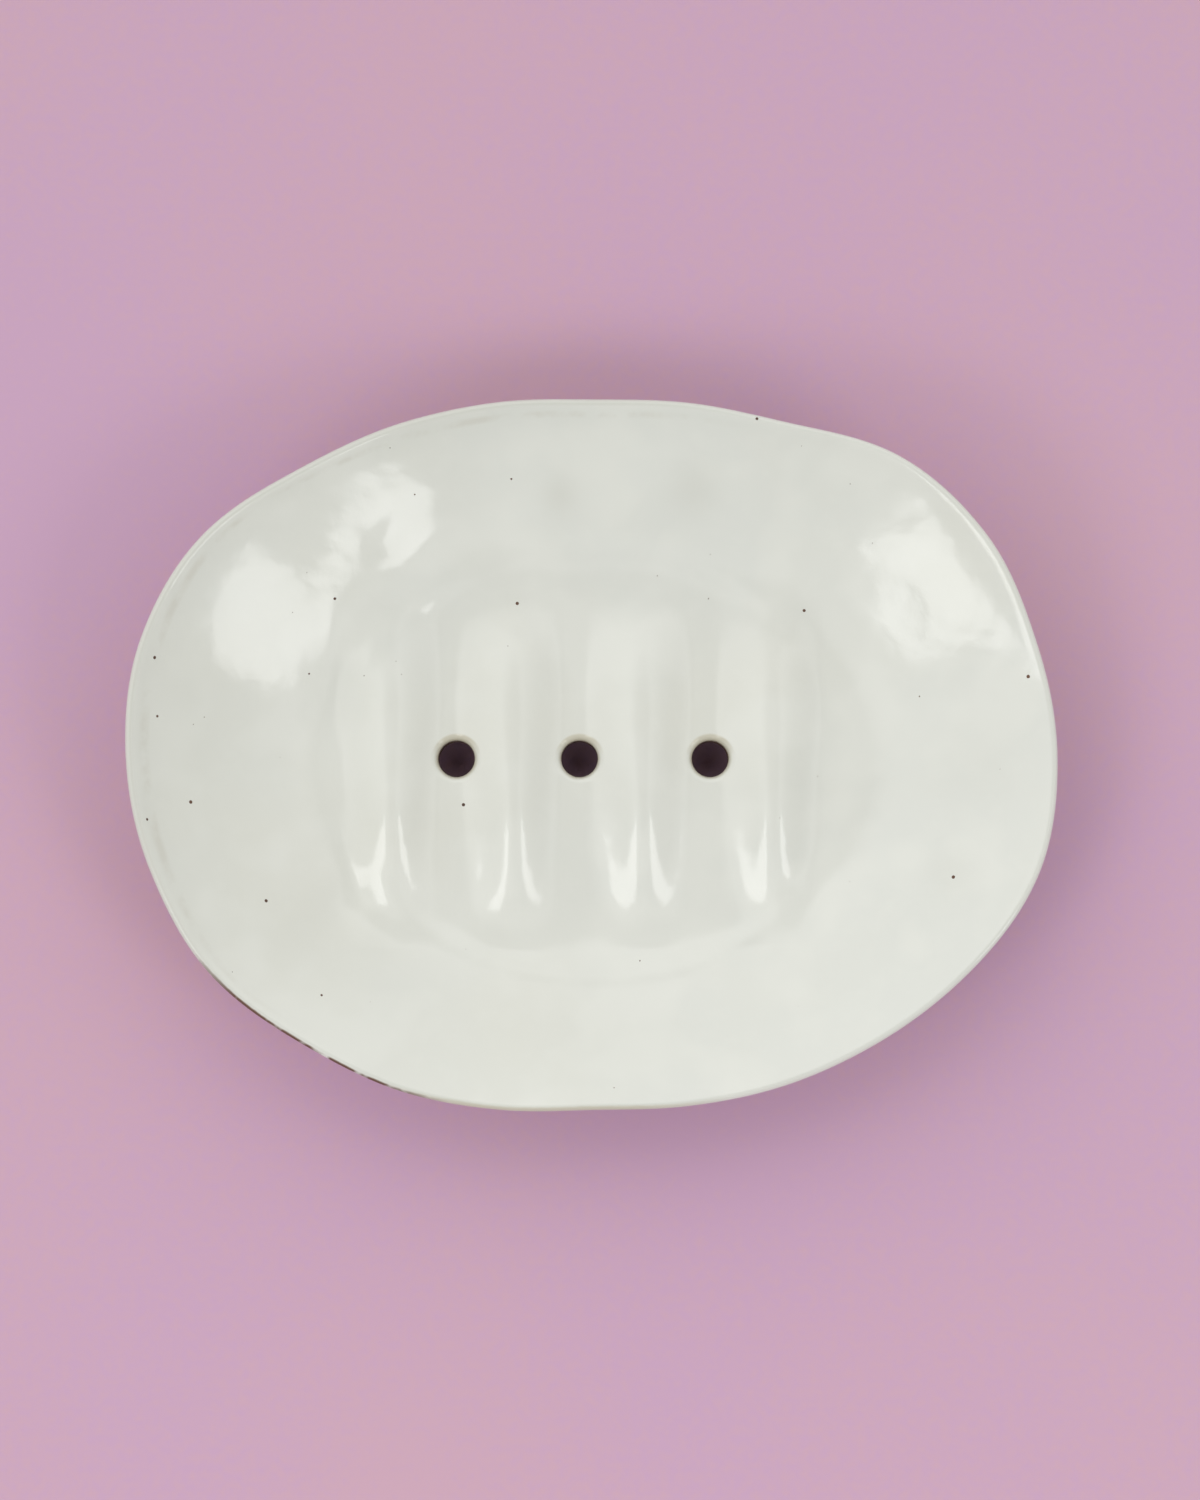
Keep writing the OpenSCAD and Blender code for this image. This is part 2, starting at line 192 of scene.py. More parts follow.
class Wire:
    # A node socket that takes part in Python sums: each sum adds its Math node
    def __init__(self, tree, socket=None):
        self.tree = tree
        self.socket = socket

    # Adds any node: its settings are set first, then its sockets get values or links
    def add(self, kind, settings=None, inputs=None, output=0):
        node = self.tree.nodes.new(kind)
        for name, value in (settings or {}).items():
            setattr(node, name, value)
        for key, value in (inputs or {}).items():
            place = key if isinstance(key, int) else findSocket(node.inputs, key)
            if isinstance(value, Wire):
                self.tree.links.new(value.socket, node.inputs[place])
            else:
                node.inputs[place].default_value = value
        place = output if isinstance(output, int) else findSocket(node.outputs, output)
        return Wire(self.tree, node.outputs[place])

    # Another output of the node that this socket belongs to
    def out(self, key):
        outputs = self.socket.node.outputs
        return Wire(self.tree, outputs[findSocket(outputs, key)])

    def math(self, operation, *terms):
        return self.add("ShaderNodeMath", {"operation": operation}, dict(enumerate(terms)))

    def vector(self, operation, *terms, **named):
        inputs = {**dict(enumerate(terms)), **named}
        output = "Value" if operation in ("LENGTH", "DISTANCE", "DOT_PRODUCT") else "Vector"
        return self.add("ShaderNodeVectorMath", {"operation": operation}, inputs, output)

    def combine(self, x, y, z=0):
        return self.add("ShaderNodeCombineXYZ", inputs={"X": x, "Y": y, "Z": z})

    def split(self):
        whole = self.add("ShaderNodeSeparateXYZ", inputs={"Vector": self})
        return whole.out("X"), whole.out("Y"), whole.out("Z")

    def __add__(self, other):
        return self.math("ADD", self, other)

    def __radd__(self, other):
        return self.math("ADD", other, self)

    def __sub__(self, other):
        return self.math("SUBTRACT", self, other)

    def __rsub__(self, other):
        return self.math("SUBTRACT", other, self)

    def __mul__(self, other):
        return self.math("MULTIPLY", self, other)

    def __rmul__(self, other):
        return self.math("MULTIPLY", other, self)

    def __truediv__(self, other):
        return self.math("DIVIDE", self, other)

    def __rtruediv__(self, other):
        return self.math("DIVIDE", other, self)

    def __pow__(self, other):
        return self.math("POWER", self, other)

    def __neg__(self):
        return self.math("MULTIPLY", self, -1)

    def __gt__(self, other):
        return self.math("GREATER_THAN", self, other)

    def root(self):
        return self.math("SQRT", self)

    def cosine(self):
        return self.math("COSINE", self)

    def sine(self):
        return self.math("SINE", self)

    def atLeast(self, other):
        return self.math("MAXIMUM", self, other)

    def atMost(self, other):
        return self.math("MINIMUM", self, other)

    # From a where the mask is 0 to b where it is 1
    def mix(self, a, b):
        return a + (b - a) * self


def findSocket(sockets, key):
    names = [s.identifier for s in sockets] + [s.name for s in sockets]
    return names.index(key) % len(sockets)


# A geometry tree with named inputs; returns the tree and its input node's first wire
def geometryTree(name, sizes, objects=()):
    tree = bpy.data.node_groups.new(name, "GeometryNodeTree")
    tree.interface.new_socket("Geometry", in_out="INPUT", socket_type="NodeSocketGeometry")
    for label, value in sizes.items():
        kind = "NodeSocketInt" if isinstance(value, int) else "NodeSocketFloat"
        tree.interface.new_socket(label, in_out="INPUT", socket_type=kind).default_value = value
    for label in objects:
        tree.interface.new_socket(label, in_out="INPUT", socket_type="NodeSocketObject")
    tree.interface.new_socket("Geometry", in_out="OUTPUT", socket_type="NodeSocketGeometry")
    return tree, Wire(tree).add("NodeGroupInput")


def endTree(tree, geometry, material):
    solid = geometry.add("GeometryNodeRealizeInstances", inputs={"Geometry": geometry})
    smooth = solid.add("GeometryNodeSetShadeSmooth", inputs={"Geometry": solid})
    done = smooth.add("GeometryNodeSetMaterial", inputs={"Geometry": smooth, "Material": material})
    output = tree.nodes.new("NodeGroupOutput")
    tree.links.new(done.socket, output.inputs[0])


# Runs a tree on an object and leaves the result as its plain mesh
def runTree(thing, tree, values):
    modifier = thing.modifiers.new(tree.name, "NODES")
    modifier.node_group = tree
    for item in tree.interface.items_tree:
        if item.in_out == "INPUT" and item.name in values:
            value = values[item.name]
            modifier[item.identifier] = float(value) if item.socket_type == "NodeSocketFloat" else value
    graph = bpy.context.evaluated_depsgraph_get()
    made = bpy.data.meshes.new_from_object(
        thing.evaluated_get(graph), preserve_all_data_layers=True, depsgraph=graph)
    thing.modifiers.remove(modifier)
    # A primitive brings an empty slot along, so only the tree's own material is kept
    finish = [material for material in made.materials if material]
    made.materials.clear()
    made.materials.append(finish[0])
    made.polygons.foreach_set("material_index", [0] * len(made.polygons))
    thing.data = made
    made.name = thing.name


# A smooth closed curve through evenly spaced shares, read at angles in radians
def shareAt(shares, angle):
    table = np.array(shares, float)
    spot = (angle / (2 * math.pi)) % 1 * len(table)
    i = np.floor(spot).astype(int)
    t = spot - i
    before, start, end, after = (table[(i + k) % len(table)] for k in (-1, 0, 1, 2))
    bend = 2 * before - 5 * start + 4 * end - after
    return start + t / 2 * (end - before + t * (bend + t * (3 * (start - end) + after - before)))


def ovalRadius(angle, length, width):
    return 1 / np.sqrt((np.cos(angle) / (length / 2)) ** 2 + (np.sin(angle) / (width / 2)) ** 2)


# The dish's outline: its oval is a little shorter than the dish, by what its swellings add
class Outline:
    def __init__(self):
        turn = np.arange(mesh["outlineSteps"]) * 2 * math.pi / mesh["outlineSteps"]
        self.length, self.width = dish["length"], dish["width"]
        for _ in range(mesh["fitSteps"]):
            low, high = self.reach(turn)
            self.length *= dish["length"] / (high[0] - low[0])
            self.width *= dish["width"] / (high[1] - low[1])
        low, high = self.reach(turn)
        self.middle = -(low + high) / 2

    def radius(self, angle):
        return shareAt(dish["outlineShares"], angle) * ovalRadius(angle, self.length, self.width)

    def reach(self, angle):
        points = self.radius(angle)[:, None] * np.stack([np.cos(angle), np.sin(angle)], 1)
        return points.min(0), points.max(0)


outline = Outline()
shareNames = [
    "wallShare", "rimShare", "underShare", "lineShare", "baseZone",
    "mouthTurn", "runShare", "deepShare", "holeX", "holeY", "skin", "cover"]


# The flat blank: points, their shares for the press, and the quads between rows of points
class Blank:
    def __init__(self):
        self.xy, self.faces, self.count = [], [], 0
        self.shares = {name: [] for name in shareNames}

    def place(self, xy, **shares):
        xy = np.asarray(xy, float).reshape(-1, 2)
        self.xy.append(xy)
        for name in shareNames:
            self.shares[name].append(np.broadcast_to(shares.get(name, 0), len(xy)).astype(float))
        self.count += len(xy)
        return np.arange(self.count - len(xy), self.count)

    # Quads between two closed rows; the face looks up where the first row is the inner one
    def weave(self, inner, outer):
        self.faces.append(np.stack([inner, outer, np.roll(outer, -1), np.roll(inner, -1)], 1))

    # Row after row from a closed row, each with its points and shares; returns the last one
    def grow(self, row, rows, inward=False):
        for xy, shares in rows:
            ahead = self.place(xy, **shares)
            self.weave(*((ahead, row) if inward else (row, ahead)))
            row = ahead
        return row

    # Quads of a grid of indices, left out where skip is true; the face looks up
    def tile(self, grid, skip, flipped):
        quads = np.stack([grid[:-1, :-1], grid[:-1, 1:], grid[1:, 1:], grid[1:, :-1]], 2)
        quads = quads[~skip]
        self.faces.append(quads[:, ::-1] if flipped else quads)

    def build(self, name):
        xy = np.concatenate(self.xy)
        faces = np.concatenate(self.faces)
        used, faces = np.unique(faces, return_inverse=True)
        faces = faces.reshape(-1, 4)
        data = bpy.data.meshes.new(name)
        data.from_pydata(np.column_stack([xy[used], np.zeros(len(used))]).tolist(), [], faces.tolist())
        away = xy[used] - outline.middle
        angle = np.arctan2(away[:, 1], away[:, 0])
        columns = {key: np.concatenate(values)[used] for key, values in self.shares.items()}
        columns["outlineRadius"] = outline.radius(angle)
        columns["depthShare"] = shareAt(dish["depthShares"], angle)
        columns["curlShare"] = shareAt(dish["curlShares"], angle)
        for key, values in columns.items():
            data.attributes.new(key, "FLOAT", "POINT").data.foreach_set("value", values.astype(np.float32))
        return addObject(name, data)


# The even steps from 0 to 1, without the 0
def fractions(count):
    return [k / count for k in range(1, count + 1)]


# Grid lines through the knots, each stretch cut into its count of even steps
def gridLines(knots, counts):
    lines = [np.linspace(a, b, n, endpoint=False) for a, b, n in zip(knots, knots[1:], counts)]
    return np.concatenate([*lines, knots[-1:]])


# Knots of the ribbed field: it ends beyond the outer ribs and holds a square cell round each hole
def fieldKnots(half, ends, front, back):
    across = [x + side * half for x, _, _ in drains for side in (-1, 1)]
    return [ends[0], *across, ends[1]], [front, -half, half, back]


def stepCounts(knots):
    return [max(1, round((b - a) / mesh["cell"])) for a, b in zip(knots, knots[1:])]


# The field with a round patch in each cell; returns its edge row and each hole's mouth row
def layField(blank, knotsX, knotsY, countsX, countsY, mouthRadius, flipped, **shares):
    linesX, linesY = gridLines(knotsX, countsX), gridLines(knotsY, countsY)
    gx, gy = np.meshgrid(linesX, linesY)
    grid = blank.place(np.stack([gx.ravel(), gy.ravel()], 1), **shares).reshape(gx.shape)
    skip = np.zeros((len(linesY) - 1, len(linesX) - 1), bool)
    low, high = countsY[0], countsY[0] + countsY[1]
    mouths = []
    for i, (holeX, holeY, _) in enumerate(drains):
        left = sum(countsX[:2 * i + 1])
        right = left + countsX[2 * i + 1]
        skip[low:high, left:right] = True
        edge = edgeRow(grid[low:high + 1, left:right + 1])
        corners = edgeRow(np.stack([gx, gy], 2)[low:high + 1, left:right + 1])
        # Both rows begin at the cell's front left corner
        turn = np.linspace(-0.75 * math.pi, 1.25 * math.pi, len(edge), endpoint=False)
        ring = np.array([holeX, holeY]) + mouthRadius * np.stack([np.cos(turn), np.sin(turn)], 1)
        crowded = [t * (1 + mesh["crowding"] * (1 - t)) for t in fractions(mesh["holeRings"])]
        edge = blank.grow(edge, [(corners + (ring - corners) * t, shares) for t in crowded], not flipped)
        mouths.append((edge, ring, np.array([holeX, holeY])))
    blank.tile(grid, skip, flipped)
    return edgeRow(grid), edgeRow(np.stack([gx, gy], 2)), mouths


# The rim of a grid, anticlockwise from its front left corner
def edgeRow(grid):
    return np.concatenate([grid[0, :-1], grid[:-1, -1], grid[-1, :0:-1], grid[:0:-1, 0]])


def sheetKnots():
    front, back = -ribs["front"], ribs["back"]
    ends = drains[0][0] - ribs["pitch"], drains[-1][0] + ribs["pitch"]
    return fieldKnots(holes["cell"], ends, front, back)


# One sheet of the dish, from the mouths of the holes over the rim to the glaze line or the base
def laySheet(blank, skin, toBase=False):
    knotsX, knotsY = sheetKnots()
    countsX, countsY = stepCounts(knotsX), stepCounts(knotsY)
    countsX = [c if i % 2 == 0 else countsY[1] for i, c in enumerate(countsX)]
    same = {"skin": skin, "cover": 1}
    mouthRadius = holes["radius"] + holes["mouth"]
    row, start, mouths = layField(blank, knotsX, knotsY, countsX, countsY, mouthRadius, False, **same)
    wallSteps = round((dish["width"] / 2 - ribs["front"]) / mesh["wallStep"])
    underSteps = round((dish["width"] - dish["baseWidth"]) / 2 / mesh["underStep"])
    row = blank.grow(row, [(start, {**same, "wallShare": t}) for t in fractions(wallSteps)])
    same["wallShare"] = 1
    row = blank.grow(row, [(start, {**same, "rimShare": t}) for t in fractions(mesh["rimSteps"])])
    same["rimShare"] = 1
    below = {**same, "lineShare": 0 if toBase else 1}
    row = blank.grow(row, [(start, {**below, "underShare": t}) for t in fractions(underSteps)])
    if not toBase:  # the glaze ends in a rounded bead
        same["underShare"] = 1
        bends = [t * math.pi / 2 for t in fractions(mesh["beadSteps"])]
        row = blank.grow(row, [
            (start, {**same, "lineShare": 1 + math.sin(bend), "cover": math.cos(bend)}) for bend in bends])
    ends = []
    for edge, ring, hole in mouths:
        spot = {"holeX": hole[0], "holeY": hole[1], "skin": skin}
        edge = blank.grow(edge, [
            (ring, {**spot, "mouthTurn": t, "cover": 1}) for t in fractions(mesh["mouthSteps"])], True)
        edge = blank.grow(edge, [
            (ring, {**spot, "mouthTurn": 1, "runShare": t, "cover": 1 - t * t})
            for t in fractions(mesh["runSteps"])], True)
        ends.append((edge, ring, spot))
    return row, start, ends, countsX, countsY


# The clay below the sheet: the bores and the flat base with their exits
def layBase(blank, row, start, ends, countsX, countsY):
    half = holes["cell"] * holes["exitCell"]
    baseEnds = drains[0][0] - half - holes["baseEnds"], drains[-1][0] + half + holes["baseEnds"]
    knotsX, knotsY = fieldKnots(half, baseEnds, -half - holes["baseSides"], half + holes["baseSides"])
    exitRadius = holes["radius"] + holes["exit"]
    zone = {"baseZone": 1, "underShare": 1, "rimShare": 1, "wallShare": 1}
    edge, inside, exits = layField(blank, knotsX, knotsY, countsX, countsY, exitRadius, True, **zone)
    away = start - outline.middle
    angle = np.arctan2(away[:, 1], away[:, 0])
    rim = outline.middle + ovalRadius(angle, dish["baseLength"], dish["baseWidth"])[:, None] * np.stack(
        [np.cos(angle), np.sin(angle)], 1)
    row = blank.grow(row, [(rim + (inside - rim) * t, zone) for t in fractions(mesh["baseSteps"])[:-1]])
    blank.weave(row, edge)
    for (wall, ring, spot), (low, _, _) in zip(ends, exits):
        deep = {**spot, "mouthTurn": 1, "runShare": 1}
        wall = blank.grow(wall, [
            (ring, {**deep, "deepShare": t}) for t in fractions(mesh["deepSteps"])[:-1]], True)
        blank.weave(low, wall)


# A share that the mesh brings along
def stored(start, label):
    return start.add(
        "GeometryNodeInputNamedAttribute", {"data_type": "FLOAT"}, {"Name": label}, "Attribute")


# The tree that presses a blank into the dish
def pressTree(name, material):
    sizes = {
        "Middle X": outline.middle[0], "Middle Y": outline.middle[1],
        "Bowl Depth": dish["bowlDepth"], "Bowl Curve": dish["bowlCurve"],
        "Floor Length": dish["floorLength"], "Floor Width": dish["floorWidth"],
        "Floor Height": basePlane + dish["floorThickness"], "Rim Thickness": dish["rimThickness"],
        "Lip Round": dish["lipRound"], "Low Round": dish["lowRound"],
        "Lip Rise": dish["lipRise"], "Lip Width": dish["lipWidth"],
        "Ring Height": dish["ringHeight"], "Ring Length": dish["ringLength"],
        "Ring Width": dish["ringWidth"], "Ring Spread": dish["ringSpread"],
        "Curl Height": dish["curlHeight"], "Curl Width": dish["curlWidth"],
        "Base Height": basePlane, "Base Length": dish["baseLength"], "Base Width": dish["baseWidth"],
        "Base Curve": dish["baseCurve"], "Softness": dish["softness"],
        "Glaze Thickness": glaze["thickness"], "Bare Band": glaze["bareBand"],
        "Line Wave": glaze["lineWave"], "Line Reach": glaze["lineReach"], "Line Scale": glaze["lineScale"],
        "Glaze Run": glaze["run"], "Hole Radius": holes["radius"], "Mouth Round": holes["mouth"],
        "Rib Height": ribs["height"], "Rib Left": ribs["halfLeft"], "Rib Right": ribs["halfRight"],
        "Rib Crest": ribs["crest"], "Crest Back": ribs["crestBack"], "Crest Change": ribs["crestChange"],
        "Rib Front": ribs["front"], "Rib Front Full": ribs["frontFull"],
        "Rib Front Drop": ribs["frontDrop"],
        "Rib Back": ribs["back"], "Rib Back Full": ribs["backFull"],
        "Dip Depth": dish["dipDepth"], "Dip Start": dish["dipStart"], "Dip Full": dish["dipFull"],
        "Dip Reach": dish["dipReach"],
        "Waves": hand["waves"], "Wave Scale": hand["waveScale"], "Wave Seed": hand["waveSeed"],
    }
    tree, start = geometryTree(name, {k: float(v) for k, v in sizes.items()})
    size = start.out

    def share(label):
        return stored(start, label)

    def swell(t):  # from 0 to 1, level at both ends
        return (1 - (t.atLeast(0).atMost(1) * math.pi).cosine()) / 2

    def softStart(t):  # nearly 0 below 0 and nearly t above it
        soft = size("Softness")
        return (t + (t * t + soft * soft).root()) / (1 + (soft * soft + 1).root())

    def oval(cosA, sinA, length, width):
        return 1 / ((cosA * 2 / length) ** 2 + (sinA * 2 / width) ** 2).root()

    place = start.add("GeometryNodeInputPosition")
    px, py, _ = place.split()
    midX, midY = size("Middle X"), size("Middle Y")
    skin = size("Glaze Thickness") * share("skin") * share("cover")
    curl = size("Curl Height") * share("curlShare")
    lip = size("Lip Rise") * share("curlShare")
    rise = size("Bowl Depth") * share("depthShare")
    rimTop = size("Floor Height") + size("Glaze Thickness") + rise + curl + lip
    lipR = share("outlineRadius") - size("Lip Round")
    lipZ = rimTop - size("Lip Round")
    lipRound = size("Lip Round") - size("Glaze Thickness") + skin
    lowR = share("outlineRadius") - size("Low Round")
    lowRimZ = rimTop - size("Rim Thickness") + size("Low Round")
    lowRound = size("Low Round") - size("Glaze Thickness") + skin
    floorZ = size("Floor Height") + skin
    lowZ = size("Base Height") - skin

    # Direction of the ray through a point, and what the section there measures
    def direction(x, y):
        far = (x * x + y * y).root().atLeast(mesh["nearest"])
        return x / far, y / far, far

    cosA, sinA, reach = direction(px - midX, py - midY)
    floorR = oval(cosA, sinA, size("Floor Length"), size("Floor Width"))
    baseR = oval(cosA, sinA, size("Base Length"), size("Base Width"))
    # The wall ends where its slope meets the rounding of the lip, above and below
    curlSlope = curl * 2 / size("Curl Width") + lip * 2 / size("Lip Width")
    slope = start.math("ARCTANGENT", size("Bowl Curve") * rise / (lipR - floorR) + curlSlope)
    underSlope = start.math("ARCTANGENT", size("Base Curve") * (lowRimZ - lowRound - lowZ) / (lowR - baseR))
    for _ in range(mesh["solveSteps"]):
        endR = lipR - lipRound * slope.sine()
        endZ = lipZ + lipRound * slope.cosine()
        wallRise = endZ - floorZ - curl - lip
        slope = start.math("ARCTANGENT", size("Bowl Curve") * wallRise / (endR - floorR) + curlSlope)
        underR = lowR + lowRound * underSlope.sine()
        underZ = lowRimZ - lowRound * underSlope.cosine()
        underSlope = start.math("ARCTANGENT", size("Base Curve") * (underZ - lowZ) / (underR - baseR))

    # Zones of the blank: round the rim, under the dish, in a hole
    onRim = share("rimShare") > 0
    below = share("underShare") > 0
    flat = share("baseZone") > 0.5
    inHole = share("mouthTurn") > 0

    topR = share("wallShare").mix(reach, endR)
    lipPart, lowPart = mesh["lipSteps"] / mesh["rimSteps"], mesh["lowSteps"] / mesh["rimSteps"]
    overLip = (share("rimShare") / lipPart).atMost(1)
    downFace = ((share("rimShare") - lipPart) / (1 - lipPart - lowPart)).atLeast(0).atMost(1)
    underLip = ((share("rimShare") - 1 + lowPart) / lowPart).atLeast(0)
    bend = (1 - overLip) * (math.pi / 2 + slope) - underLip * (math.pi / 2 - underSlope)
    cornerRound = downFace.mix(lipRound, lowRound)
    roundX = downFace.mix(lipR, lowR) + cornerRound * bend.cosine()
    roundZ = downFace.mix(lipZ, lowRimZ) + cornerRound * bend.sine()
    circle = place.combine(cosA * size("Line Reach"), sinA * size("Line Reach"))
    wave = noise(circle, size("Line Scale"))
    bandEdge = baseR + share("lineShare").atMost(1) * size("Bare Band") * (
        1 + size("Line Wave") * (wave - 0.5) * 2)
    bead = (share("lineShare") - 1).atLeast(0) * size("Glaze Thickness")
    downR = share("underShare").mix(underR, bandEdge) - bead
    downZ = lowZ + (underZ - lowZ) * ((downR - baseR) / (underR - baseR)).atLeast(0) ** size("Base Curve")
    rayR = below.mix(onRim.mix(topR, roundX), downR)
    x = flat.mix(midX + cosA * rayR, px)
    y = flat.mix(midY + sinA * rayR, py)

    # In a hole the point goes round the mouth's rounding and down the bore
    mouthR = size("Mouth Round")
    mouthAngle = (1 - share("mouthTurn")) * (math.pi / 2)
    shrunk = mouthR - size("Glaze Thickness") + skin
    flare = size("Glaze Thickness") * share("cover") - skin
    boreX = size("Hole Radius") + mouthR - shrunk * mouthAngle.cosine()
    running = share("runShare") > 0
    boreX = running.mix(boreX, size("Hole Radius") + flare)
    outX, outY, _ = direction(px - share("holeX"), py - share("holeY"))
    x = inHole.mix(x, share("holeX") + outX * boreX)
    y = inHole.mix(y, share("holeY") + outY * boreX)

    # Height of the bowl with its ribs at a place
    cosB, sinB, far = direction(x - midX, y - midY)
    out = (far - floorR) / (endR - floorR)
    curling = 1 - (endR - far) / size("Curl Width")
    lifting = 1 - (endR - far) / size("Lip Width")
    bowl = floorZ + (endZ - floorZ - curl - lip) * softStart(out) ** size("Bowl Curve")
    bowl = bowl + curl * softStart(curling) ** 2 + lip * softStart(lifting) ** 2
    ringR = oval(cosB, sinB, size("Ring Length"), size("Ring Width"))
    ring = size("Ring Height") * start.math("EXPONENT", -(((far - ringR) / size("Ring Spread")) ** 2))
    crests = [drains[0][0] - ribs["pitch"] / 2]
    crests += [(a[0] + b[0]) / 2 for a, b in zip(drains, drains[1:])]
    crests += [drains[-1][0] + ribs["pitch"] / 2]
    crestShape = swell(y / size("Crest Change") / 2 + 0.5).mix(size("Rib Crest"), size("Crest Back"))
    profile = None
    for crest, shift, heightShare in zip(crests, ribs["crestShifts"], ribs["heightShares"]):
        across = x - crest - shift
        across = (across / size("Rib Right")).atLeast(-across / size("Rib Left"))
        ridge = heightShare * ((1 + (across.atMost(1) * math.pi).cosine()) / 2) ** crestShape
        profile = ridge if profile is None else profile.atLeast(ridge)
    ahead = between(-y, size("Rib Front Full"), size("Rib Front"))
    behind = between(y, size("Rib Back Full"), size("Rib Back"))
    length = (1 - ahead ** size("Rib Front Drop")) * (1 + (behind * math.pi).cosine()) / 2
    dip = swell((size("Dip Start") - y) / (size("Dip Start") + size("Dip Full")))
    dip = dip * swell((1 - far / endR) / (1 - size("Dip Reach")))
    top = bowl + ring + size("Rib Height") * profile * length - size("Dip Depth") * dip

    # Down the hole from the mouth's top
    mouthZ = top + size("Glaze Thickness") - skin - mouthR
    holeZ = mouthZ + shrunk * mouthAngle.sine()
    runZ = mouthZ - size("Glaze Run") * share("runShare")
    boreZ = share("deepShare").mix(runZ, size("Base Height"))
    z = below.mix(onRim.mix(top, roundZ), downZ)
    z = flat.mix(z, size("Base Height"))
    z = inHole.mix(z, running.mix(holeZ, boreZ))

    # The hand's unevenness lifts everything alike, and fades towards the flat base
    keep = (1 - share("underShare")) * (1 - share("deepShare"))
    spot = place.combine(x, y, size("Wave Seed"))
    unevenness = noise(spot, size("Wave Scale"), roughness=hand["waveRoughness"])
    lift = size("Waves") * (unevenness - 0.5) * 2
    for pressX, pressY, reachAlong, reachAcross, turn, depth in hand["presses"]:
        c, s = math.cos(math.radians(turn)), math.sin(math.radians(turn))
        u = ((x - pressX) * c + (y - pressY) * s) / reachAlong
        v = ((y - pressY) * c - (x - pressX) * s) / reachAcross
        lift = lift - depth * start.math("EXPONENT", -(u * u + v * v))
    z = z + lift * keep

    metres = place.vector("SCALE", place.combine(x, y, z), Scale=mm)
    pressed = start.add("GeometryNodeSetPosition", inputs={"Geometry": start, "Position": metres})
    joined = start.add("GeometryNodeMergeByDistance", inputs={
        "Geometry": pressed, "Distance": mesh["weld"] * mm})
    endTree(tree, joined, material)
    return tree, sizes


def camel(name):
    first, *rest = name.split("_")
    return first + "".join(word.title() for word in rest)


# A material: its paint function gets the tree's first wire and sets what varies over the surface
def newMaterial(name, paint):
    material = bpy.data.materials.new(name)
    material.use_nodes = True
    paint(Wire(material.node_tree), material.node_tree.nodes["Principled BSDF"])
    return material


def connect(shader, **wires):
    for label, wire in wires.items():
        wire.tree.links.new(wire.socket, shader.inputs[findSocket(shader.inputs, label.replace("_", " "))])


def objectPlace(start):
    return start.add("ShaderNodeTexCoord", output="Object")


def noise(place, scale, detail=2, roughness=0.5):
    return place.add("ShaderNodeTexNoise", {"noise_dimensions": "3D"}, {
        "Vector": place, "Scale": scale, "Detail": detail, "Roughness": roughness})


def tint(mask, first, second):
    return mask.add("ShaderNodeMix", {"data_type": "RGBA", "clamp_factor": True}, {
        "Factor_Float": mask, "A_Color": rgba(first), "B_Color": rgba(second)}, "Result_Color")


def rgba(colour):
    return colour if isinstance(colour, Wire) else (*colour, 1)


# 0 at low, 1 at high, and straight between
def between(wire, low, high):
    return ((wire - low) / (high - low)).atLeast(0).atMost(1)


def bumped(height, distance):
    return height.add("ShaderNodeBump", inputs={"Strength": 1, "Distance": distance * mm, "Height": height})


